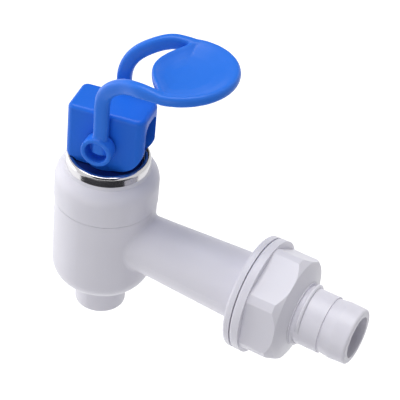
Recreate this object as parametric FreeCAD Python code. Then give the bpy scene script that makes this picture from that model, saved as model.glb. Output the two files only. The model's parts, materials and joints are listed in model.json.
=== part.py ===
import FreeCAD, Part
import math
import os
from FreeCAD import Matrix, Placement, Rotation, Vector

# Drinks dispenser spigot with a press-down lever, in millimetres.
# The origin is on the shank axis, in the plane of the flange face that bears on the tank.
# +Y points into the tank, +Z up, and heights are counted from the shank axis.

# Main body
BODY_R = 14.0
REACH = 48.2
MOUTH_DROP = 26.4
NOZZLE_R = 7.13
NOZZLE_LENGTH = 6.6
OUTLET_R = 5.0
NOZZLE_BLEND = 2.0
BOTTOM_ROUND = 6.4
FLOOR_THICKNESS = 2.0
SEAM_RISE = 10.4
SEAM_EDGE = 0.3
CHAMBER_STEP = 0.6
CHAMBER_ROUND = 3.0
SEAT_LIP_WIDTH = 1.3
SEAT_LIP_HEIGHT = 1.2
NECK_STEP = 1.5
NECK_HEIGHT = 3.1
NECK_WALL = 1.6
COUNTERBORE_DEPTH = 4.5
TUBE_R = 8.09
TUBE_FLARE = 0.0488
TUBE_BLEND = 1.0

# Flange, shank and inlet
FLANGE_R = 15.8
FLANGE_THICKNESS = 2.0
FLANGE_ROUND = 0.8
THREAD_R = 8.8
THREAD_LENGTH = 13.8
SHANK_R = 7.95
SHANK_LENGTH = 29.6
GROOVE_START = 21.5
GROOVE_DEPTH = 0.45
GROOVE_RAMP = 3.4
TIP_R = 7.75
TIP_ROUND = 0.8
INLET_R = 5.75
WASHER_OUTER_R = 12.6
WASHER_RECESS = 1.0

# Lock nut
NUT_FLATS = 27.6
NUT_CORNER_R = 15.3
NUT_FLANGE_R = 15.9
NUT_FLANGE = 2.6
NUT_LENGTH = 13.6
NUT_END_R = 13.9
NUT_BEVEL = 1.6
NUT_CONE = 1.7
NUT_TURN = 24.0

# Bonnet and trim ring
CAP_PROUD = 0.2
CAP_RISE = 22.2
CAP_PLATE = 2.8
CAP_STRAIGHT = 6.4
CAP_SHOULDER_R = 5.0
CAP_SHOULDER_TURN = 60.0
RING_STEP = 2.75
RING_SECTION = 2.15
RING_WALL = 1.8
RING_HEIGHT = 2.8

# Guide bush, seals and spring
BUSH_FLANGE = 1.5
STEM_PISTON_R = 3.6
STEM_ROD_R = 2.6
STEM_GUIDE_R = 3.1
SEAL_SECTION_R = 0.72
GASKET_THICKNESS = 1.0
GASKET_WIDTH = 3.1
PLUG_OVERLAP = 1.1
PLUG_THICKNESS = 2.6
FOOT_THICKNESS = 1.4
KNOB_R = 3.0
STEM_HEAD_WALL = 1.5
CRANK_SLOT_SHIFT = 1.2
SPRING_MEAN_R = 4.7
SPRING_WIRE_R = 0.4
SPRING_TURNS = 6.5
SPRING_WASHER = 0.5

# Swivelling head
HEAD_TURN = 10.0
HOOD_WIDTH = 11.8
HOOD_BACK = 10.3
HOOD_FRONT = 11.3
HOOD_BASE = 24.3
HOOD_ROOF_BACK = 41.4
HOOD_ROOF_FRONT = 42.0
HOOD_HEEL_ROUND = 3.8
HOOD_TOE_ROUND = 8.0
HOOD_BACK_CORNER = 1.8
HOOD_FRONT_CORNER = 2.6
HOOD_EDGE = 1.2
HOOD_SLOT_WIDTH = 7.4
HOOD_SLOT_TOP = 39.4
HOOD_SLOT_BOTTOM = 27.0
HOOD_SLOT_ROUND = 2.6
HOOD_SLOT_BACK = 6.6
HOOD_NECK_R = 6.4
HOOD_NECK_END = 1.2
HOOD_NECK_ROOT = 1.0
CLIP_THICKNESS = 0.7
CLIP_OUTER_R = 8.2
CLIP_GROOVE_DEPTH = 0.9
CLIP_GAP = 6.0
SLIP_WASHER = 0.5
COLLAR_HEIGHT = 1.6

# Lever
HINGE_RISE = 31.8
EYE_R = 4.6
EYE_BORE_R = 3.3
EYE_DEPTH = 3.4
EYE_PROUD = 0.9
ARM_THICKNESS = 3.1
ARM_WIDTH = 4.8
ARM_TIP_WIDTH = 3.4
ARM_ROUNDNESS = 0.75
ARM_LEAN = 2.1
ARM_FOOT = 1.5
ARM_BEND_R = 8.8
ARM_BEND_SHARE = 0.62
ARM_TIP_SHARE = 0.88
ARM_LANDING = 1.0
TRUNNION_R = 3.25
CRANK_R = 1.2
CRANK_OFFSET = 1.9
CRANK_REST = -19.0
PADDLE_WIDTH = 29.0
PADDLE_FRONT = 11.4
PADDLE_LOBE = 11.1
PADDLE_CENTRE = 21.7
PADDLE_RISE = 58.8
PADDLE_TILT = 8.5
PADDLE_THICKNESS = 3.0
PADDLE_EDGE = 1.3
PADDLE_RIM = 1.7
PADDLE_DISH = 1.5

# Clearances
RUNNING = 0.05
SEATED = 0.02
LOOSE = 0.15
BESIDE = 0.3
SAME_POINT = 0.000001

neck_r = BODY_R - NECK_STEP
counterbore_r = neck_r - NECK_WALL
chamber_r = counterbore_r - CHAMBER_STEP
cap_r = BODY_R + CAP_PROUD
ring_r = cap_r - RING_STEP
ring_inner_r = ring_r - RING_SECTION
collar_r = ring_inner_r - BESIDE
gasket_inner_r = neck_r - GASKET_WIDTH
mouth = -MOUTH_DROP
nozzle_top = mouth + NOZZLE_LENGTH
bottom = nozzle_top + NOZZLE_BLEND
floor = bottom + FLOOR_THICKNESS
seat = floor + SEAT_LIP_HEIGHT
seat_lip_r = OUTLET_R + SEAT_LIP_WIDTH
plug_r = seat_lip_r + PLUG_OVERLAP
rim = SEAM_RISE + NECK_HEIGHT
counterbore_floor = rim - COUNTERBORE_DEPTH
bush_top = rim + BUSH_FLANGE
gasket_top = bush_top + GASKET_THICKNESS
cap_inner_r = neck_r + RUNNING
cap_bore_r = HOOD_NECK_R + RUNNING
plate_bottom = CAP_RISE - CAP_PLATE
plug_bottom = seat + RUNNING
plug_top = plug_bottom + PLUG_THICKNESS
foot_top = plug_top + FOOT_THICKNESS
hood_half = HOOD_WIDTH / 2
slot_half = HOOD_SLOT_WIDTH / 2
arm_inner = hood_half + BESIDE
stem_head_half = slot_half - BESIDE


def outline(start, *moves):
    """Closed wire in the XZ plane: a move of two numbers is a line, one of four an arc through a point."""
    first = Vector(start[0], 0, start[1])
    here = first
    edges = []
    for move in moves:
        there = Vector(move[-2], 0, move[-1])
        if len(move) == 4:
            edges.append(Part.Arc(here, Vector(move[0], 0, move[1]), there).toShape())
        else:
            edges.append(Part.LineSegment(here, there).toShape())
        here = there
    if not here.isEqual(first, SAME_POINT):
        edges.append(Part.LineSegment(here, first).toShape())
    return Part.Wire(edges)


def bend(radius_at, level, radius, start, end):
    """Arc move about the centre (radius_at, level), between two angles in degrees."""
    middle = math.radians((start + end) / 2)
    last = math.radians(end)
    return (
        radius_at + radius * math.cos(middle),
        level + radius * math.sin(middle),
        radius_at + radius * math.cos(last),
        level + radius * math.sin(last),
    )


def turned(start, *moves):
    """Solid of revolution about Z."""
    return Part.Face(outline(start, *moves)).revolve(Vector(), Vector(0, 0, 1), 360)


def along_y(shape):
    """Lays a solid that was turned about Z along the shank, with its +Z end at +Y."""
    shape.Placement = Placement(Vector(), Rotation(Vector(1, 0, 0), -90))
    return shape


def on_body_axis(shape):
    """Moves a solid that was turned about Z to the vertical axis of the body."""
    shape.translate(Vector(0, -REACH, 0))
    return shape


def on_head(shape):
    """Turns a solid of the head to the photographed direction and stands it on the body axis."""
    shape.rotate(Vector(), Vector(0, 0, 1), HEAD_TURN)
    return on_body_axis(shape)


def ring(inner, outer, low, high):
    return turned((inner, low), (outer, low), (outer, high), (inner, high))


def seal(centre_r, level):
    """Round seal ring of the common section."""
    return Part.makeTorus(centre_r, SEAL_SECTION_R, Vector(0, 0, level))


def cylinder_x(radius, start, end, y, z):
    return Part.makeCylinder(radius, end - start, Vector(start, y, z), Vector(1, 0, 0))


def tap_body():
    """One moulding: cup, nozzle, inlet tube, flange and shank."""
    cup = turned(
        (0, mouth),
        (NOZZLE_R, mouth),
        (NOZZLE_R, nozzle_top),
        bend(NOZZLE_R + NOZZLE_BLEND, nozzle_top, NOZZLE_BLEND, 180, 90),
        (BODY_R - BOTTOM_ROUND, bottom),
        bend(BODY_R - BOTTOM_ROUND, bottom + BOTTOM_ROUND, BOTTOM_ROUND, -90, 0),
        (BODY_R, SEAM_RISE - SEAM_EDGE),
        bend(BODY_R - SEAM_EDGE, SEAM_RISE - SEAM_EDGE, SEAM_EDGE, 0, 90),
        (neck_r, SEAM_RISE),
        (neck_r, rim),
        (0, rim),
    )
    tube_end = -FLANGE_THICKNESS / 2
    tube_end_r = TUBE_R + TUBE_FLARE * (REACH + tube_end - BODY_R)
    tube = along_y(turned(
        (0, -REACH),
        (TUBE_R, -REACH),
        (TUBE_R, BODY_R - REACH),
        (tube_end_r, tube_end),
        (0, tube_end),
    ))
    outer = on_body_axis(cup).fuse(tube)
    joints = [edge for edge in outer.Edges if is_tube_joint(edge)]
    outer = outer.makeFillet(TUBE_BLEND, joints)
    chamber = turned(
        (0, seat),
        (seat_lip_r, seat),
        (seat_lip_r, floor),
        (chamber_r - CHAMBER_ROUND, floor),
        bend(chamber_r - CHAMBER_ROUND, floor + CHAMBER_ROUND, CHAMBER_ROUND, -90, 0),
        (chamber_r, counterbore_floor),
        (counterbore_r, counterbore_floor),
        (counterbore_r, rim),
        (0, rim),
    )
    outlet = Part.makeCylinder(OUTLET_R, seat - mouth, Vector(0, 0, mouth))
    inlet = along_y(Part.makeCylinder(INLET_R, REACH + SHANK_LENGTH, Vector(0, 0, -REACH)))
    outer = outer.fuse(shank())
    return outer.cut(on_body_axis(chamber)).cut(on_body_axis(outlet)).cut(inlet).removeSplitter()


def is_tube_joint(edge):
    """True for the curve in which the inlet tube meets the cup."""
    box = edge.BoundBox
    reach = box.YMax < -REACH + BODY_R + RUNNING and box.YMin > -REACH
    return reach and box.XLength > TUBE_R and box.ZLength > TUBE_R


def shank():
    """Flange with a recess for the wall washer, threaded stretch, grooved tail and rounded lip."""
    groove_floor = SHANK_R - GROOVE_DEPTH
    groove_end = GROOVE_START + GROOVE_RAMP
    recess = -WASHER_RECESS
    washer_r = WASHER_OUTER_R + RUNNING
    return along_y(turned(
        (0, -FLANGE_THICKNESS),
        (FLANGE_R - FLANGE_ROUND, -FLANGE_THICKNESS),
        bend(FLANGE_R - FLANGE_ROUND, FLANGE_ROUND - FLANGE_THICKNESS, FLANGE_ROUND, -90, 0),
        (FLANGE_R, 0),
        (washer_r, 0),
        (washer_r, recess),
        (THREAD_R, recess),
        (THREAD_R, THREAD_LENGTH),
        (SHANK_R, THREAD_LENGTH),
        (SHANK_R, GROOVE_START),
        (groove_floor, GROOVE_START),
        (SHANK_R, groove_end),
        (TIP_R, SHANK_LENGTH - TIP_ROUND),
        bend(TIP_R - TIP_ROUND, SHANK_LENGTH - TIP_ROUND, TIP_ROUND, 0, 90),
        (0, SHANK_LENGTH),
    ))


def wall_washer():
    """Flat seal that lies in the flange recess."""
    return along_y(ring(THREAD_R + RUNNING, WASHER_OUTER_R, SEATED - WASHER_RECESS, -RUNNING))


def flange_nut():
    """Hexagonal lock nut with a round flange and a coned end."""
    start = LOOSE
    corner_r = NUT_FLATS / 2 / math.cos(math.radians(30))
    corners = []
    for step in range(7):
        angle = math.radians(60 * step + NUT_TURN)
        corners.append(Vector(corner_r * math.cos(angle), corner_r * math.sin(angle), start))
    hexagon = Part.Face(Part.makePolygon(corners)).extrude(Vector(0, 0, NUT_LENGTH - start))
    trim = turned(
        (0, start),
        (NUT_CORNER_R, start),
        (NUT_CORNER_R, NUT_LENGTH - NUT_BEVEL - NUT_CONE),
        (NUT_END_R, NUT_LENGTH - NUT_CONE),
        (THREAD_R, NUT_LENGTH),
        (0, NUT_LENGTH),
    )
    flange = turned(
        (0, start),
        (NUT_FLANGE_R - FLANGE_ROUND, start),
        bend(NUT_FLANGE_R - FLANGE_ROUND, start + FLANGE_ROUND, FLANGE_ROUND, -90, 0),
        (NUT_FLANGE_R, start + NUT_FLANGE),
        (0, start + NUT_FLANGE),
    )
    bore = Part.makeCylinder(THREAD_R + RUNNING, NUT_LENGTH, Vector(0, 0, 0))
    return along_y(hexagon.common(trim).fuse(flange).cut(bore).removeSplitter())


def bonnet_cap():
    """Screw bonnet: skirt over the neck, rounded shoulder and a top plate with the swivel bore."""
    skirt_start = SEAM_RISE + LOOSE
    shoulder = SEAM_RISE + CAP_STRAIGHT
    shell = turned(
        (0, skirt_start),
        (cap_r - SEAM_EDGE, skirt_start),
        bend(cap_r - SEAM_EDGE, skirt_start + SEAM_EDGE, SEAM_EDGE, -90, 0),
        (cap_r, shoulder),
        bend(cap_r - CAP_SHOULDER_R, shoulder, CAP_SHOULDER_R, 0, CAP_SHOULDER_TURN),
        (ring_r, CAP_RISE),
        (0, CAP_RISE),
    )
    hollow = turned(
        (0, skirt_start),
        (cap_inner_r, skirt_start),
        (cap_inner_r, gasket_top),
        (gasket_inner_r, gasket_top),
        (gasket_inner_r, plate_bottom),
        (0, plate_bottom),
    )
    bore = Part.makeCylinder(cap_bore_r, CAP_PLATE, Vector(0, 0, plate_bottom))
    return on_body_axis(shell.cut(hollow).cut(bore))


def trim_ring():
    """Bright ring on the bonnet: upright wall under a half-round crest."""
    low = CAP_RISE + SEATED
    spring_line = CAP_RISE + RING_WALL
    middle = (ring_r + ring_inner_r) / 2
    return on_body_axis(turned(
        (ring_inner_r, low),
        (ring_r, low),
        (ring_r, spring_line),
        (middle, CAP_RISE + RING_HEIGHT, ring_inner_r, spring_line),
    ))


def cap_gasket():
    return on_body_axis(ring(gasket_inner_r, neck_r, bush_top + SEATED, gasket_top - SEATED))


def guide_bush():
    """Bush that closes the chamber and guides the stem, with a groove for its own seal."""
    low = counterbore_floor + SEATED
    outer_r = counterbore_r - RUNNING
    groove_low = (low + rim) / 2 - SEAL_SECTION_R - RUNNING
    groove_high = (low + rim) / 2 + SEAL_SECTION_R + RUNNING
    groove_r = counterbore_r - 2 * SEAL_SECTION_R - RUNNING
    return on_body_axis(turned(
        (STEM_PISTON_R + RUNNING, low),
        (outer_r, low),
        (outer_r, groove_low),
        (groove_r, groove_low),
        (groove_r, groove_high),
        (outer_r, groove_high),
        (outer_r, rim + SEATED),
        (neck_r, rim + SEATED),
        (neck_r, bush_top),
        (STEM_PISTON_R + RUNNING, bush_top),
    ))


def bush_seal():
    level = (counterbore_floor + SEATED + rim) / 2
    return on_body_axis(seal(counterbore_r - SEAL_SECTION_R - SEATED, level))


def stem_seal_levels():
    """Levels of the two seal rings on the stem piston, inside the guide bush."""
    middle = (counterbore_floor + bush_top) / 2
    return middle - 3 * SEAL_SECTION_R, middle


def stem():
    """Lift rod with a foot for the plug, a sealed piston and a head slotted for the cranks."""
    lower, upper = stem_seal_levels()
    groove_r = STEM_PISTON_R - 2 * SEAL_SECTION_R
    half = SEAL_SECTION_R + RUNNING
    knob_low = plug_bottom - KNOB_R
    piston_low = counterbore_floor - SPRING_WASHER - RUNNING
    piston_high = bush_top + RUNNING
    crank_level = HINGE_RISE + crank_height(CRANK_REST)
    head_low = HOOD_SLOT_BOTTOM + BESIDE
    head_high = crank_level + CRANK_R + 2 * BESIDE + STEM_HEAD_WALL
    rod = turned(
        (0, knob_low),
        (KNOB_R / 2, knob_low),
        (KNOB_R, plug_bottom - SEATED),
        (STEM_ROD_R / 2 + SEATED, plug_bottom - SEATED),
        (STEM_ROD_R / 2 + SEATED, plug_top + SEATED),
        (seat_lip_r, plug_top + SEATED),
        (seat_lip_r, foot_top),
        (STEM_ROD_R, foot_top),
        (STEM_ROD_R, piston_low),
        (STEM_PISTON_R, piston_low),
        (STEM_PISTON_R, lower - half),
        (groove_r, lower - half),
        (groove_r, lower + half),
        (STEM_PISTON_R, lower + half),
        (STEM_PISTON_R, upper - half),
        (groove_r, upper - half),
        (groove_r, upper + half),
        (STEM_PISTON_R, upper + half),
        (STEM_PISTON_R, piston_high),
        (STEM_GUIDE_R, piston_high),
        (STEM_GUIDE_R, head_low),
        (0, head_low),
    )
    head_length = 2 * (CRANK_OFFSET + CRANK_R + BESIDE)
    head = Part.makeBox(2 * stem_head_half, head_length, head_high - head_low)
    head.translate(Vector(-stem_head_half, -head_length / 2, head_low))
    shape = rod.fuse(head)
    slot_height = 2 * (CRANK_R + RUNNING)
    depth = slot_half - crank_end() + RUNNING
    for side in (-1, 1):
        slot = Part.makeBox(depth, head_length, slot_height)
        start = -stem_head_half - RUNNING if side < 0 else stem_head_half + RUNNING - depth
        slot.translate(Vector(start, -head_length / 2 - CRANK_SLOT_SHIFT, crank_level - slot_height / 2))
        shape = shape.cut(slot)
    return on_head(shape.removeSplitter())


def crank_end():
    """How near to the middle plane the crank pins reach."""
    return slot_half / 2


def crank_height(angle):
    return CRANK_OFFSET * math.sin(math.radians(angle))


def stem_seal(level):
    return on_body_axis(seal(STEM_PISTON_R - SEAL_SECTION_R + SEATED, level))


def valve_plug():
    """Soft disc on the stem foot that closes the outlet."""
    return on_body_axis(ring(STEM_ROD_R / 2 + 2 * SEATED, plug_r, plug_bottom, plug_top))


def spring_washer():
    high = counterbore_floor - SEATED
    return on_body_axis(ring(STEM_PISTON_R + RUNNING, SPRING_MEAN_R + 2 * SPRING_WIRE_R, high - SPRING_WASHER, high))


def return_spring():
    """Open coil of half rings, tilted to and fro so that each runs smoothly into the next."""
    low = foot_top + SPRING_WIRE_R + SEATED
    high = counterbore_floor - SPRING_WASHER - SPRING_WIRE_R - 3 * SEATED
    halves = int(2 * SPRING_TURNS)
    rise = (high - low) / halves
    tilt = math.degrees(math.asin(rise / 2 / SPRING_MEAN_R))
    coil = []
    for step in range(halves):
        half = Part.makeTorus(SPRING_MEAN_R, SPRING_WIRE_R, Vector(), Vector(0, 0, 1), 0, 360, 180)
        if step % 2 == 0:
            half.rotate(Vector(), Vector(0, 1, 0), tilt)
        else:
            half.rotate(Vector(), Vector(0, 0, 1), 180)
            half.rotate(Vector(), Vector(0, 1, 0), -tilt)
        half.translate(Vector(0, 0, low + (step + 0.5) * rise))
        coil.append(half)
    return on_body_axis(coil[0].fuse(coil[1:]).removeSplitter())


def hood():
    """Lever housing: rounded block on a swivel neck, with an open slot between two cheeks."""
    side = [
        (-HOOD_BACK + HOOD_HEEL_ROUND, HOOD_BASE),
        (HOOD_FRONT - HOOD_TOE_ROUND, HOOD_BASE),
        bend(HOOD_FRONT - HOOD_TOE_ROUND, HOOD_BASE + HOOD_TOE_ROUND, HOOD_TOE_ROUND, -90, 0),
        (HOOD_FRONT, HOOD_ROOF_FRONT),
        (-HOOD_BACK, HOOD_ROOF_BACK),
        (-HOOD_BACK, HOOD_BASE + HOOD_HEEL_ROUND),
    ]
    heel = bend(-HOOD_BACK + HOOD_HEEL_ROUND, HOOD_BASE + HOOD_HEEL_ROUND, HOOD_HEEL_ROUND, 180, 270)
    profile = Part.Face(outline(*side, heel))
    profile.rotate(Vector(), Vector(0, 0, 1), 90)
    block = profile.extrude(Vector(HOOD_WIDTH, 0, 0))
    block.translate(Vector(-hood_half, 0, 0))
    block = block.common(hood_plan())
    block = block.makeFillet(HOOD_EDGE, [edge for edge in block.Edges if is_roof_edge(edge)])
    slot = hood_slot()
    relief = turned(
        (ring_inner_r - BESIDE, CAP_RISE),
        (ring_r + BESIDE, CAP_RISE),
        (ring_r + BESIDE, CAP_RISE + RING_WALL),
        ((ring_r + ring_inner_r) / 2, CAP_RISE + RING_HEIGHT + BESIDE, ring_inner_r - BESIDE, CAP_RISE + RING_WALL),
    )
    bearing = cylinder_x(TRUNNION_R + RUNNING, -hood_half, hood_half, 0, HINGE_RISE)
    neck = turned(
        (0, clip_low() - HOOD_NECK_END),
        (HOOD_NECK_R, clip_low() - HOOD_NECK_END),
        (HOOD_NECK_R, clip_low() - SEATED),
        (HOOD_NECK_R - CLIP_GROOVE_DEPTH, clip_low() - SEATED),
        (HOOD_NECK_R - CLIP_GROOVE_DEPTH, clip_low() + CLIP_THICKNESS + SEATED),
        (HOOD_NECK_R, clip_low() + CLIP_THICKNESS + SEATED),
        (HOOD_NECK_R, HOOD_BASE + HOOD_NECK_ROOT),
        (0, HOOD_BASE + HOOD_NECK_ROOT),
    )
    guide = Part.makeCylinder(STEM_GUIDE_R + RUNNING, HOOD_SLOT_BOTTOM, Vector(0, 0, 0))
    shape = block.cut(relief).fuse(neck).cut(slot).cut(bearing).cut(guide)
    return on_head(shape.removeSplitter())


def hood_plan():
    """Upright prism with the hood's rounded corners as seen from above."""
    back = HOOD_BACK_CORNER
    front = HOOD_FRONT_CORNER
    plan = outline(
        (hood_half, -HOOD_BACK + back),
        (hood_half, HOOD_FRONT - front),
        bend(hood_half - front, HOOD_FRONT - front, front, 0, 90),
        (front - hood_half, HOOD_FRONT),
        bend(front - hood_half, HOOD_FRONT - front, front, 90, 180),
        (-hood_half, -HOOD_BACK + back),
        bend(back - hood_half, -HOOD_BACK + back, back, 180, 270),
        (hood_half - back, -HOOD_BACK),
        bend(hood_half - back, -HOOD_BACK + back, back, 270, 360),
    )
    plan.rotate(Vector(), Vector(1, 0, 0), -90)
    face = Part.Face(plan)
    return face.extrude(Vector(0, 0, 2 * HOOD_ROOF_FRONT))


def is_roof_edge(edge):
    return edge.BoundBox.ZMin > HOOD_ROOF_BACK - SEATED


def hood_slot():
    """Space between the cheeks, open towards the paddle, with a rounded arch."""
    low = HOOD_SLOT_BOTTOM
    high = HOOD_SLOT_TOP
    arch = outline(
        (-slot_half, low),
        (slot_half, low),
        (slot_half, high - HOOD_SLOT_ROUND),
        bend(slot_half - HOOD_SLOT_ROUND, high - HOOD_SLOT_ROUND, HOOD_SLOT_ROUND, 0, 90),
        (HOOD_SLOT_ROUND - slot_half, high),
        bend(HOOD_SLOT_ROUND - slot_half, high - HOOD_SLOT_ROUND, HOOD_SLOT_ROUND, 90, 180),
    )
    slot = Part.Face(arch).extrude(Vector(0, HOOD_SLOT_BACK + 2 * HOOD_FRONT, 0))
    slot.translate(Vector(0, -HOOD_SLOT_BACK, 0))
    return slot


def clip_low():
    return plate_bottom - SLIP_WASHER - 3 * SEATED - CLIP_THICKNESS


def neck_clip():
    """Split ring that keeps the swivel neck in the bonnet."""
    inner = HOOD_NECK_R - CLIP_GROOVE_DEPTH + RUNNING
    shape = ring(inner, CLIP_OUTER_R, clip_low(), clip_low() + CLIP_THICKNESS)
    gap = Part.makeBox(CLIP_GAP, CLIP_OUTER_R, CLIP_THICKNESS)
    gap.translate(Vector(-CLIP_GAP / 2, 0, clip_low()))
    return on_head(shape.cut(gap))


def slip_washer():
    low = clip_low() + CLIP_THICKNESS + SEATED
    return on_head(ring(cap_bore_r, CLIP_OUTER_R, low, low + SLIP_WASHER))


def swivel_collar():
    """Bearing washer under the hood, inside the trim ring."""
    low = CAP_RISE + RUNNING
    return on_head(ring(cap_bore_r, collar_r, low, low + COLLAR_HEIGHT))


def arm_section(x, y, z, direction, width, depth):
    """Rounded rectangle square to the arm: its centre, its direction in degrees, width and depth."""
    half_x = depth / 2
    half_w = width / 2
    r = min(half_x, half_w) * ARM_ROUNDNESS
    wire = outline(
        (half_x, half_w - r),
        bend(half_x - r, half_w - r, r, 0, 90),
        (r - half_x, half_w),
        bend(r - half_x, half_w - r, r, 90, 180),
        (-half_x, r - half_w),
        bend(r - half_x, r - half_w, r, 180, 270),
        (half_x - r, -half_w),
        bend(half_x - r, r - half_w, r, 270, 360),
    )
    wire.rotate(Vector(), Vector(1, 0, 0), direction)
    wire.translate(Vector(x, y, z))
    return wire


def rim_level(y):
    """Height of the paddle's rim, which climbs towards the tip."""
    return PADDLE_RISE + (y - PADDLE_CENTRE) * math.tan(math.radians(PADDLE_TILT))


def lever_arm(side):
    """One arm: upright from its eye, splayed outwards, bent over and sunk into the paddle's rim."""
    root = arm_inner + ARM_THICKNESS / 2
    rim_x = PADDLE_WIDTH / 2 - PADDLE_THICKNESS / 2
    landing = PADDLE_CENTRE - ARM_LANDING
    landing_z = rim_level(landing) - PADDLE_THICKNESS / 2
    bend_z = landing_z - ARM_BEND_R
    foot_z = HINGE_RISE + ARM_FOOT
    stations = [
        (0, ARM_LEAN, foot_z, 90, ARM_WIDTH),
        (ARM_BEND_SHARE / 2, ARM_LEAN, (foot_z + bend_z) / 2, 90, ARM_WIDTH),
    ]
    for angle in (0, 30, 60, 90):
        over = angle / 90
        stations.append((
            ARM_BEND_SHARE + (ARM_TIP_SHARE - ARM_BEND_SHARE) * over,
            ARM_LEAN + ARM_BEND_R * (1 - math.cos(math.radians(angle))),
            bend_z + ARM_BEND_R * math.sin(math.radians(angle)),
            90 - angle,
            ARM_WIDTH + (ARM_TIP_WIDTH - ARM_WIDTH) * over,
        ))
    stations.append((1, landing, landing_z, PADDLE_TILT, PADDLE_THICKNESS - PADDLE_EDGE / 2))
    wires = []
    for share, y, z, direction, width in stations:
        x = side * (root + (rim_x - root) * share)
        wires.append(arm_section(x, y, z, direction, width, min(width, ARM_THICKNESS)))
    return Part.makeLoft(wires, True, False)


def paddle():
    """Dished plate with a rounded rim: half an oval in front and a narrower lobe between the arms."""
    half = PADDLE_WIDTH / 2
    front = Part.ArcOfEllipse(Part.Ellipse(Vector(), half, PADDLE_FRONT), 0, math.pi).toShape()
    lobe = Part.BSplineCurve()
    left = ((-1, 0), (-0.74, 0.52), (-0.58, 0.70), (-0.36, 0.89))
    right = [(-across, along) for across, along in reversed(left)]
    lobe.interpolate(
        [Vector(across * half, -along * PADDLE_LOBE, 0) for across, along in (*left, (0, 1), *right)],
        InitialTangent=Vector(0, -1, 0),
        FinalTangent=Vector(0, 1, 0),
    )
    plate = Part.Face(Part.Wire([front, lobe.toShape()])).extrude(Vector(0, 0, -PADDLE_THICKNESS))
    plate = plate.makeFillet(PADDLE_EDGE, [edge for edge in plate.Edges if edge.BoundBox.ZLength < PADDLE_EDGE])
    across = half - PADDLE_RIM
    ball_r = (across ** 2 + PADDLE_DISH ** 2) / 2 / PADDLE_DISH
    oval = Matrix()
    oval.scale(1, (PADDLE_FRONT - PADDLE_RIM) / across, 1)
    ball = Part.makeSphere(ball_r, Vector(0, 0, ball_r - PADDLE_DISH)).transformGeometry(oval)
    plate = plate.cut(ball)
    plate.rotate(Vector(), Vector(1, 0, 0), PADDLE_TILT)
    plate.translate(Vector(0, PADDLE_CENTRE, PADDLE_RISE))
    return plate


def lever():
    """One moulding: paddle, two arms, hollow eyes, trunnions and crank pins."""
    shape = paddle()
    outer = arm_inner + ARM_THICKNESS
    eye_end = outer + EYE_PROUD
    crank_y = -CRANK_OFFSET * math.cos(math.radians(CRANK_REST))
    crank_z = HINGE_RISE + crank_height(CRANK_REST)
    for side in (-1, 1):
        shape = shape.fuse(lever_arm(side))
        for radius, start, end, y, z in (
            (EYE_R, arm_inner, eye_end, 0, HINGE_RISE),
            (TRUNNION_R, slot_half + BESIDE, outer, 0, HINGE_RISE),
            (CRANK_R, crank_end(), outer, crank_y, crank_z),
        ):
            low, high = sorted((side * start, side * end))
            shape = shape.fuse(cylinder_x(radius, low, high, y, z))
    for side in (-1, 1):
        low, high = sorted((side * (eye_end - EYE_DEPTH), side * (eye_end + ARM_THICKNESS)))
        shape = shape.cut(cylinder_x(EYE_BORE_R, low, high, 0, HINGE_RISE))
    return on_head(shape.removeSplitter())


def main():
    lower, upper = stem_seal_levels()
    parts = {
        "tap_body": tap_body(),
        "wall_washer": wall_washer(),
        "flange_nut": flange_nut(),
        "bonnet_cap": bonnet_cap(),
        "trim_ring": trim_ring(),
        "cap_gasket": cap_gasket(),
        "guide_bush": guide_bush(),
        "bush_seal": bush_seal(),
        "stem": stem(),
        "stem_seal_lower": stem_seal(lower),
        "stem_seal_upper": stem_seal(upper),
        "valve_plug": valve_plug(),
        "return_spring": return_spring(),
        "spring_washer": spring_washer(),
        "hood": hood(),
        "swivel_collar": swivel_collar(),
        "slip_washer": slip_washer(),
        "neck_clip": neck_clip(),
        "lever": lever(),
    }
    os.makedirs("parts", exist_ok=True)
    for name, shape in parts.items():
        print(name, len(shape.Solids), shape.isValid(), round(shape.Volume, 1))
        shape.exportStep(f"parts/{name}.step")


main()
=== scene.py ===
import json
import math

import bpy
from mathutils import Matrix, Vector


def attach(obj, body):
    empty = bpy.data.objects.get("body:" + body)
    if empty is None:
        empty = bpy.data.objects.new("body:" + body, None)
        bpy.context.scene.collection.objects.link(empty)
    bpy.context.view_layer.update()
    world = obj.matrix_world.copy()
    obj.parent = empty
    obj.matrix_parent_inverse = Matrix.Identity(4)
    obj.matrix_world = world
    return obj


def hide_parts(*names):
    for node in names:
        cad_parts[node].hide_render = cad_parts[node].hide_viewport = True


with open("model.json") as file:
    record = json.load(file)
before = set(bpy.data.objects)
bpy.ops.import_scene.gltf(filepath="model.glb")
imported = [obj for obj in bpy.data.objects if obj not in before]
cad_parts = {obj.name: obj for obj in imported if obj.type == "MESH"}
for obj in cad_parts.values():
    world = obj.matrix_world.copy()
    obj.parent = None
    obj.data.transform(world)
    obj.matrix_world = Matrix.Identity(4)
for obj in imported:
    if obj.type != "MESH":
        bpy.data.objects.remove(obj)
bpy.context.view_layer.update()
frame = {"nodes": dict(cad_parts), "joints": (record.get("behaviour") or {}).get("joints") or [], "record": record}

# Drinks dispenser spigot: moulded plastic, a bright trim ring and a thread ridge, on a white stage.
# Lengths are in metres, apart from the lever's, which are in millimetres.

# Camera, in the part's axes
CAMERA_PLACE = (0.30170, 0.12807, 0.29853)
CAMERA_RIGHT = (-0.49896, 0.86263, 0.08312)
CAMERA_UP = (-0.51947, -0.37448, 0.76806)
FOCAL_PIXELS = 1665.97
PICTURE_PIXELS = 400
SENSOR_MM = 36.0
CLIP_NEAR = 0.01
CLIP_FAR = 20.0

# Thread ridge on the shank, beyond the lock nut
RIDGE_ROOT_R = 0.00790
RIDGE_CREST_R = 0.00880
RIDGE_BASE = 0.00125
RIDGE_PITCH = 0.00170
RIDGE_START = 0.01405
RIDGE_TURNS = 1.0
RIDGE_RUN_OUT = 0.12
RIDGE_STEPS = 96
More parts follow.
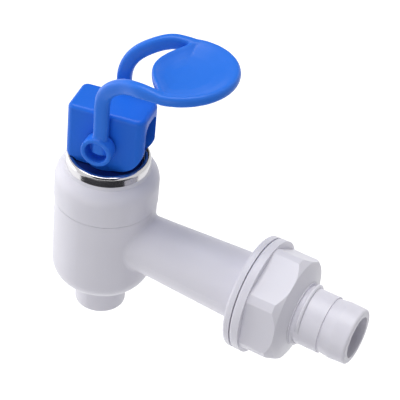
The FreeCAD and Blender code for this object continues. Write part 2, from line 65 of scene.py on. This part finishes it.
# Section of the ridge: along the shank in widths of its base, and out in heights of its crest
RIDGE_SECTION = ((-0.5, 0.0), (-0.42, 0.55), (-0.2, 0.95), (0.0, 1.0), (0.2, 0.95), (0.42, 0.55), (0.5, 0.0))

# Lever, in millimetres from the hinge: across the head, forward and up
MM = 0.001
ARM_INNER = 6.2
ARM_DEPTH = 3.1
ARM_WIDTH = 4.1
ARM_TIP_WIDTH = 2.8
ARM_SQUARENESS = 0.7
ARM_LEAN = 0.4
ARM_FOOT = -1.0
ARM_SHOULDER = 15.2
ARM_LANDING = 18.5
ARM_STEPS = 60
ARM_SECTION_STEPS = 20
# Bend of the arm: out from its root, forward of its lean, up from its shoulder, and direction in degrees
ARM_BEND = (
    (0.0, 0.0, 0.0, 86.0),
    (1.0, 1.9, 4.7, 55.0),
    (2.4, 6.2, 8.2, 27.0),
    (4.3, 11.3, 9.9, 10.0),
)
EYE_R = 4.2
EYE_BORE_R = 3.0
EYE_END = 10.2
EYE_FLOOR = 6.9
PIN_END = 6.4
TRUNNION_R = 3.25
TRUNNION_START = 4.0
CRANK_R = 1.2
CRANK_START = 1.85
CRANK_BACK = 1.80
CRANK_DROP = 0.62
ROUND_STEPS = 40
PADDLE_HALF = 14.5
PADDLE_FRONT = 15.6
PADDLE_LOBE = 6.9
LOBE_POWER = 3.2
PADDLE_CENTRE = 17.5
PADDLE_RISE = 26.7
PADDLE_TILT = 5.0
PADDLE_DISH = 2.3
PADDLE_DEPTH = 3.2
PADDLE_STEPS = 96
# Section of the paddle: share of its outline, and fall in depths of its dish, then in depths of its edge
DISH_PROFILE = ((0.02, 1.0), (0.3, 0.93), (0.55, 0.72), (0.75, 0.38), (0.87, 0.10), (0.93, 0.0))
RIM_PROFILE = ((0.97, 0.06), (0.992, 0.25), (1.0, 0.5), (0.99, 0.74), (0.96, 0.92), (0.9, 1.0), (0.02, 1.0))
LEVER_VOXEL = 0.28
SOFT_FACTOR = 0.5
SOFT_ROUNDS = 8

# Moulded surfaces: scales are per metre of the part
FLOW_SCALE = 45.0
FLOW_DETAIL = 1.0
CLOUD_SCALE = 240.0
CLOUD_DETAIL = 3.0
GRAIN_SCALE = 2600.0
GRAIN_DETAIL = 2.0
GRAIN_DEPTH = 0.00002
NOISE_LOW = 0.3
NOISE_HIGH = 0.7
PLASTIC_IOR = 1.49
SCATTER_TINT = (1.0, 0.95, 0.9)

# Stage
PART_CENTRE = (0.0, -0.02, 0.01)
RING_CENTRE = (0.0, -0.048, 0.024)
SQUARE = ((-1, -1), (1, -1), (1, 1), (-1, 1))
FLOOR_LEVEL = -0.30
FLOOR_HALF = 3.0
FLOOR_PAINT = (0.9, 0.9, 0.9, 1.0)
FLOOR_GLOW = 0.6
SKY_COLOUR = (0.97, 0.98, 1.0, 1.0)
SKY_LEVEL = 0.42
BACKDROP_COLOUR = (1.0, 1.0, 1.0, 1.0)
BACKDROP_LEVEL = 1.0
CARD_COLOUR = (0.03, 0.03, 0.035, 1.0)
CARD_ROUGHNESS = 0.9
LAMP_DISTANCE = 0.9
# Name, direction in camera axes, width and power in watts
LAMPS = (
    ("key", (-0.89, 0.28, -0.20), 1.0, 3.5),
    ("front", (-0.05, 0.86, 0.51), 0.7, 5.2),
    ("low_fill", (-0.40, -0.60, 0.52), 0.5, 1.5),
)
# Name, direction in camera axes, distance, width and height
DARK_CARDS = (
    ("dark_card_low", (0.05, -0.98, 0.19), 0.25, 0.9, 0.7),
    ("dark_card_front", (0.0, 0.25, 1.0), 0.35, 0.34, 0.34),
    ("dark_card_high", (0.10, 0.97, -0.19), 0.30, 0.3, 0.3),
)


def noise(material, scale, detail):
    """Noise that is fixed to the part, by its own coordinates."""
    nodes = material.node_tree.nodes
    place = nodes.new("ShaderNodeTexCoord")
    texture = nodes.new("ShaderNodeTexNoise")
    texture.inputs["Scale"].default_value = scale
    texture.inputs["Detail"].default_value = detail
    material.node_tree.links.new(place.outputs["Object"], texture.inputs["Vector"])
    return texture.outputs["Fac"]


def surface(name, colour, roughness, tint_spread, roughness_spread, grain):
    """Material whose colour drifts a little, whose gloss is uneven and whose skin has a fine grain."""
    material = bpy.data.materials.new(name)
    material.use_nodes = True
    nodes = material.node_tree.nodes
    links = material.node_tree.links
    shader = nodes["Principled BSDF"]
    tint = nodes.new("ShaderNodeValToRGB")
    low, high = tint.color_ramp.elements
    low.position = NOISE_LOW
    high.position = NOISE_HIGH
    low.color = (*[part * (1 - tint_spread) for part in colour], 1.0)
    high.color = (*[min(1.0, part * (1 + tint_spread)) for part in colour], 1.0)
    links.new(noise(material, FLOW_SCALE, FLOW_DETAIL), tint.inputs["Fac"])
    links.new(tint.outputs["Color"], shader.inputs["Base Color"])
    gloss = nodes.new("ShaderNodeMapRange")
    gloss.inputs["From Min"].default_value = NOISE_LOW
    gloss.inputs["From Max"].default_value = NOISE_HIGH
    gloss.inputs["To Min"].default_value = roughness - roughness_spread
    gloss.inputs["To Max"].default_value = roughness + roughness_spread
    links.new(noise(material, CLOUD_SCALE, CLOUD_DETAIL), gloss.inputs["Value"])
    links.new(gloss.outputs["Result"], shader.inputs["Roughness"])
    bump = nodes.new("ShaderNodeBump")
    bump.inputs["Strength"].default_value = grain
    bump.inputs["Distance"].default_value = GRAIN_DEPTH
    links.new(noise(material, GRAIN_SCALE, GRAIN_DETAIL), bump.inputs["Height"])
    links.new(bump.outputs["Normal"], shader.inputs["Normal"])
    return material, shader


def plastic(name, colour, roughness, specular=0.5, scatter=0.0, scatter_radius=0.001):
    """Moulded plastic with a soft gloss, which may let a little light through."""
    material, shader = surface(name, colour, roughness, tint_spread=0.02, roughness_spread=0.04, grain=0.35)
    shader.inputs["IOR"].default_value = PLASTIC_IOR
    shader.inputs["Specular IOR Level"].default_value = specular
    shader.inputs["Subsurface Weight"].default_value = scatter
    shader.inputs["Subsurface Scale"].default_value = scatter_radius
    shader.inputs["Subsurface Radius"].default_value = SCATTER_TINT
    return material


def metal(name, colour, roughness):
    """Bare or plated metal with a nearly even skin."""
    material, shader = surface(name, colour, roughness, tint_spread=0.01, roughness_spread=0.02, grain=0.05)
    shader.inputs["Metallic"].default_value = 1.0
    return material


white = plastic(
    "white_plastic", (0.77, 0.755, 0.825), 0.38,
    specular=0.45, scatter=0.25, scatter_radius=0.0015,
)
blue = plastic("blue_plastic", (0.026, 0.185, 0.80), 0.34, specular=0.25)
hood_blue = plastic("hood_plastic", (0.014, 0.155, 0.75), 0.36, specular=0.25)
# Collar colour is painted shade: the hood's blue darkened to about a fifth, as dark as it looks in the shade
# between the hood and the ring
collar_painted_shade_blue = plastic("collar_plastic_painted_shade", (0.004, 0.022, 0.16), 0.45, specular=0.3)
chrome = metal("chrome", (0.58, 0.57, 0.585), 0.16)
acetal = plastic("acetal", (0.80, 0.79, 0.75), 0.5)
silicone = plastic("silicone", (0.75, 0.75, 0.76), 0.55, scatter=0.2)
steel = metal("steel", (0.60, 0.60, 0.62), 0.3)

finishes = {
    "white_body": white,
    "white_nut": white,
    "blue_lever": blue,
    "blue_hood": hood_blue,
    # the collar's dark blue is painted shade
    "dark_collar": collar_painted_shade_blue,
    "bright_ring": chrome,
    "acetal": acetal,
    "silicone": silicone,
    "spring_steel": steel,
}


def dress(node, material):
    """Gives a node one finish all over."""
    obj = frame["nodes"][node]
    obj.data.materials.clear()
    obj.data.materials.append(material)


for subpart in frame["record"]["subparts"]:
    dress(subpart["node"], finishes[subpart["material_slot"]])


def new_piece(name, points, faces, material):
    """Object with a smooth-shaded mesh of its own."""
    mesh = bpy.data.meshes.new(name)
    mesh.from_pydata([tuple(point) for point in points], [], faces)
    mesh.update()
    obj = bpy.data.objects.new(name, mesh)
    bpy.context.scene.collection.objects.link(obj)
    mesh.materials.append(material)
    for polygon in mesh.polygons:
        polygon.use_smooth = True
    return obj


def rings_to_mesh(rings, points, faces):
    """Adds a closed skin through rings of equal length, with a cap on the first and the last."""
    start = len(points)
    width = len(rings[0])
    for ring in rings:
        points.extend(ring)
    for row in range(len(rings) - 1):
        for k in range(width):
            a = start + row * width + k
            b = start + row * width + (k + 1) % width
            faces.append((a, b, b + width, a + width))
    faces.append(tuple(start + k for k in range(width - 1, -1, -1)))
    faces.append(tuple(start + (len(rings) - 1) * width + k for k in range(width)))


def thread_ridge():
    """One rounded thread ridge round the shank, which runs out at both ends."""
    count = int(RIDGE_TURNS * RIDGE_STEPS)
    rings = []
    for step in range(count + 1):
        share = step / count
        angle = 2 * math.pi * RIDGE_TURNS * share
        rise = min(1.0, share / RIDGE_RUN_OUT, (1 - share) / RIDGE_RUN_OUT)
        rise = math.sin(rise * math.pi / 2)
        ring = []
        for along, out in RIDGE_SECTION:
            radius = RIDGE_ROOT_R + (RIDGE_CREST_R - RIDGE_ROOT_R) * out * rise
            y = RIDGE_START + RIDGE_PITCH * RIDGE_TURNS * share + RIDGE_BASE * along
            ring.append((radius * math.cos(angle), y, -radius * math.sin(angle)))
        rings.append(ring)
    points = []
    faces = []
    rings_to_mesh(rings, points, faces)
    ridge = new_piece("thread_ridge", points, faces, white)
    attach(ridge, "tap")


thread_ridge()


def round_ring(radius, across, forward, up, side):
    """Circle of points about a line that runs across the head."""
    ring = []
    for k in range(ROUND_STEPS):
        angle = side * 2 * math.pi * k / ROUND_STEPS
        ring.append((side * across, forward + radius * math.cos(angle), up + radius * math.sin(angle)))
    return ring


def trunnion(side):
    """Rings of the pin that turns in the hood."""
    return [round_ring(TRUNNION_R, across, 0.0, 0.0, side) for across in (TRUNNION_START, PIN_END)]


def crank(side):
    """Rings of the pin that lifts the stem."""
    return [round_ring(CRANK_R, across, -CRANK_BACK, -CRANK_DROP, side) for across in (CRANK_START, PIN_END)]


def eye(side):
    """Rings of the hollow eye: outside, rim, bore and floor."""
    outline = ((EYE_R, ARM_INNER), (EYE_R, EYE_END), (EYE_BORE_R, EYE_END), (EYE_BORE_R, EYE_FLOOR))
    return [round_ring(radius, across, 0.0, 0.0, side) for radius, across in outline]


def arm_line(side):
    """Stations of one arm: across, forward, up, direction in degrees and width."""
    root = ARM_INNER + ARM_DEPTH / 2
    stations = [(root, ARM_LEAN, up, 90.0, ARM_WIDTH) for up in (ARM_FOOT, ARM_SHOULDER / 2)]
    for out, forward, up, direction in ARM_BEND:
        stations.append((root + out, ARM_LEAN + forward, ARM_SHOULDER + up, direction, ARM_WIDTH))
    landing_rise = (ARM_LANDING - PADDLE_CENTRE) * math.tan(math.radians(PADDLE_TILT))
    landing_up = PADDLE_RISE + landing_rise - PADDLE_DEPTH / 2
    stations.append((PADDLE_HALF - ARM_DEPTH / 2, ARM_LANDING, landing_up, PADDLE_TILT, ARM_TIP_WIDTH))
    return [(side * across, *rest) for across, *rest in stations]


def between(a, b, c, d, t):
    """Value at share t of the way from b to c, on a Catmull-Rom curve."""
    slope = (c - a) * t
    bend = (2 * a - 5 * b + 4 * c - d) * t * t
    twist = (3 * b - a - 3 * c + d) * t ** 3
    return 0.5 * (2 * b + slope + bend + twist)


def smooth_line(stations, steps):
    """Smooth curve through the stations."""
    ends = [stations[0], *stations, stations[-1]]
    line = []
    for step in range(steps + 1):
        place = step / steps * (len(stations) - 1)
        k = min(int(place), len(stations) - 2)
        line.append([between(*values, place - k) for values in zip(*ends[k:k + 4])])
    return line


def squared(wave, size):
    """Half a size times a wave from -1 to 1, whose corners are filled out."""
    return abs(wave) ** ARM_SQUARENESS * math.copysign(size / 2, wave)


def arm(side):
    """Rings of one arm, rounded sections square to its line."""
    rings = []
    for across, forward, up, direction, width in smooth_line(arm_line(side), ARM_STEPS):
        lean = math.radians(direction + 90)
        depth = min(ARM_DEPTH, width)
        ring = []
        for k in range(ARM_SECTION_STEPS):
            angle = 2 * math.pi * k / ARM_SECTION_STEPS
            out = squared(math.cos(angle), depth)
            over = squared(math.sin(angle), width)
            ring.append((across + out, forward + over * math.cos(lean), up + over * math.sin(lean)))
        rings.append(ring if side > 0 else ring[::-1])
    return rings


def paddle():
    """Rings of the dished paddle from the middle of its underside over the rim to the middle of its top."""
    levels = [(share, -fall * PADDLE_DISH) for share, fall in DISH_PROFILE]
    levels += [(share, -fall * PADDLE_DEPTH) for share, fall in RIM_PROFILE]
    tilt = math.radians(PADDLE_TILT)
    rings = []
    for share, level in reversed(levels):
        ring = []
        for k in range(PADDLE_STEPS):
            angle = 2 * math.pi * k / PADDLE_STEPS
            across = PADDLE_HALF * math.cos(angle) * share
            if math.sin(angle) > 0:
                along = PADDLE_FRONT * math.sin(angle) * share
            else:
                along = -PADDLE_LOBE * abs(math.sin(angle)) ** LOBE_POWER * share
            forward = PADDLE_CENTRE + along * math.cos(tilt) - level * math.sin(tilt)
            up = PADDLE_RISE + along * math.sin(tilt) + level * math.cos(tilt)
            ring.append((across, forward, up))
        rings.append(ring)
    return rings


def lever():
    """One moulding with soft junctions: paddle, arms, hollow eyes, trunnions and crank pins."""
    joint = next(joint for joint in frame["joints"] if joint["name"] == "lever_press")
    hinge = Vector(joint["pos_m"])
    across_way = -Vector(joint["axis"]).normalized()
    forward_way = Vector((0, 0, 1)).cross(across_way)
    points = []
    faces = []
    rings_to_mesh(paddle(), points, faces)
    for side in (1, -1):
        for rings in (arm(side), eye(side), trunnion(side), crank(side)):
            rings_to_mesh(rings, points, faces)
    places = [hinge + (across_way * x + forward_way * y + Vector((0, 0, z))) * MM for x, y, z in points]
    piece = new_piece("lever_moulding", places, faces, blue)
    skin = piece.modifiers.new("one_skin", "REMESH")
    skin.mode = "VOXEL"
    skin.voxel_size = LEVER_VOXEL * MM
    skin.use_smooth_shade = True
    soft = piece.modifiers.new("soft_junctions", "SMOOTH")
    soft.factor = SOFT_FACTOR
    soft.iterations = SOFT_ROUNDS
    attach(piece, "lever_arm")
    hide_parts("lever")


lever()


def any_of(tree, outputs):
    """Output that is 1 where any of the given outputs is."""
    whole = outputs[0]
    for output in outputs[1:]:
        either = tree.nodes.new("ShaderNodeMath")
        either.operation = "MAXIMUM"
        tree.links.new(whole, either.inputs[0])
        tree.links.new(output, either.inputs[1])
        whole = either.outputs[0]
    return whole


def world_light():
    """White to the camera and in reflections, and an even soft light on the object."""
    world = bpy.data.worlds.new("studio")
    bpy.context.scene.world = world
    world.use_nodes = True
    nodes = world.node_tree.nodes
    links = world.node_tree.links
    nodes.clear()
    path = nodes.new("ShaderNodeLightPath").outputs
    kinds = [path["Is Camera Ray"], path["Is Transmission Ray"], path["Is Glossy Ray"]]
    sky = nodes.new("ShaderNodeBackground")
    sky.inputs["Color"].default_value = SKY_COLOUR
    sky.inputs["Strength"].default_value = SKY_LEVEL
    backdrop = nodes.new("ShaderNodeBackground")
    backdrop.inputs["Color"].default_value = BACKDROP_COLOUR
    backdrop.inputs["Strength"].default_value = BACKDROP_LEVEL
    mix = nodes.new("ShaderNodeMixShader")
    links.new(any_of(world.node_tree, kinds), mix.inputs["Fac"])
    links.new(sky.outputs[0], mix.inputs[1])
    links.new(backdrop.outputs[0], mix.inputs[2])
    output = nodes.new("ShaderNodeOutputWorld")
    links.new(mix.outputs[0], output.inputs["Surface"])


def floor_paint():
    """Pale paint that glows a little where the camera or a reflection sees it."""
    material = bpy.data.materials.new("floor")
    material.use_nodes = True
    nodes = material.node_tree.nodes
    links = material.node_tree.links
    nodes.clear()
    paint = nodes.new("ShaderNodeBsdfDiffuse")
    paint.inputs["Color"].default_value = FLOOR_PAINT
    glow = nodes.new("ShaderNodeEmission")
    glow.inputs["Strength"].default_value = FLOOR_GLOW
    both = nodes.new("ShaderNodeAddShader")
    links.new(paint.outputs[0], both.inputs[0])
    links.new(glow.outputs[0], both.inputs[1])
    path = nodes.new("ShaderNodeLightPath").outputs
    kinds = [path["Is Camera Ray"], path["Is Glossy Ray"]]
    mix = nodes.new("ShaderNodeMixShader")
    links.new(any_of(material.node_tree, kinds), mix.inputs["Fac"])
    links.new(paint.outputs[0], mix.inputs[1])
    links.new(both.outputs[0], mix.inputs[2])
    output = nodes.new("ShaderNodeOutputMaterial")
    links.new(mix.outputs[0], output.inputs["Surface"])
    return material


def floor():
    """Plain pale floor, well below the part, which is held by its shank."""
    corners = [(x * FLOOR_HALF, y * FLOOR_HALF, FLOOR_LEVEL) for x, y in SQUARE]
    new_piece("floor", corners, [(0, 1, 2, 3)], floor_paint())


def camera_axes():
    """Right, up and back of the camera, square to one another."""
    right = Vector(CAMERA_RIGHT).normalized()
    up = Vector(CAMERA_UP)
    up = (up - right * up.dot(right)).normalized()
    return right, up, right.cross(up)


def camera_way(direction):
    """Direction in the part's axes, from one in camera axes: right, up and back."""
    right, up, back = camera_axes()
    return (right * direction[0] + up * direction[1] + back * direction[2]).normalized()


def lamp(name, direction, width, power):
    """Round soft light that looks at the middle of the part."""
    way = camera_way(direction)
    data = bpy.data.lights.new(name, "AREA")
    data.shape = "DISK"
    data.size = width
    data.energy = power
    obj = bpy.data.objects.new(name, data)
    bpy.context.scene.collection.objects.link(obj)
    obj.location = Vector(PART_CENTRE) + way * LAMP_DISTANCE
    obj.rotation_euler = way.to_track_quat("Z", "Y").to_euler()


def dark_card(name, direction, distance, width, height):
    """Dark board that reflections alone see, as the dark side of a light tent."""
    material = bpy.data.materials.new(name)
    material.use_nodes = True
    shader = material.node_tree.nodes["Principled BSDF"]
    shader.inputs["Base Color"].default_value = CARD_COLOUR
    shader.inputs["Roughness"].default_value = CARD_ROUGHNESS
    way = camera_way(direction)
    turn = way.to_track_quat("Z", "Y")
    middle = Vector(RING_CENTRE) + way * distance
    corners = [middle + turn @ Vector((x * width / 2, y * height / 2, 0)) for x, y in SQUARE]
    card = new_piece(name, corners, [(0, 1, 2, 3)], material)
    card.visible_camera = False
    card.visible_diffuse = False
    card.visible_shadow = False
    card.visible_transmission = False


def camera():
    """Camera at the photograph's place, with its focal length."""
    turn = Matrix(camera_axes()).transposed()
    data = bpy.data.cameras.new("camera")
    data.sensor_width = SENSOR_MM
    data.lens = FOCAL_PIXELS / PICTURE_PIXELS * SENSOR_MM
    data.clip_start = CLIP_NEAR
    data.clip_end = CLIP_FAR
    obj = bpy.data.objects.new("camera", data)
    obj.matrix_world = Matrix.Translation(Vector(CAMERA_PLACE)) @ turn.to_4x4()
    bpy.context.scene.collection.objects.link(obj)
    bpy.context.scene.camera = obj


world_light()
floor()
for name, direction, width, power in LAMPS:
    lamp(name, direction, width, power)
for name, direction, distance, width, height in DARK_CARDS:
    dark_card(name, direction, distance, width, height)
camera()
bpy.context.scene.view_settings.view_transform = "Standard"
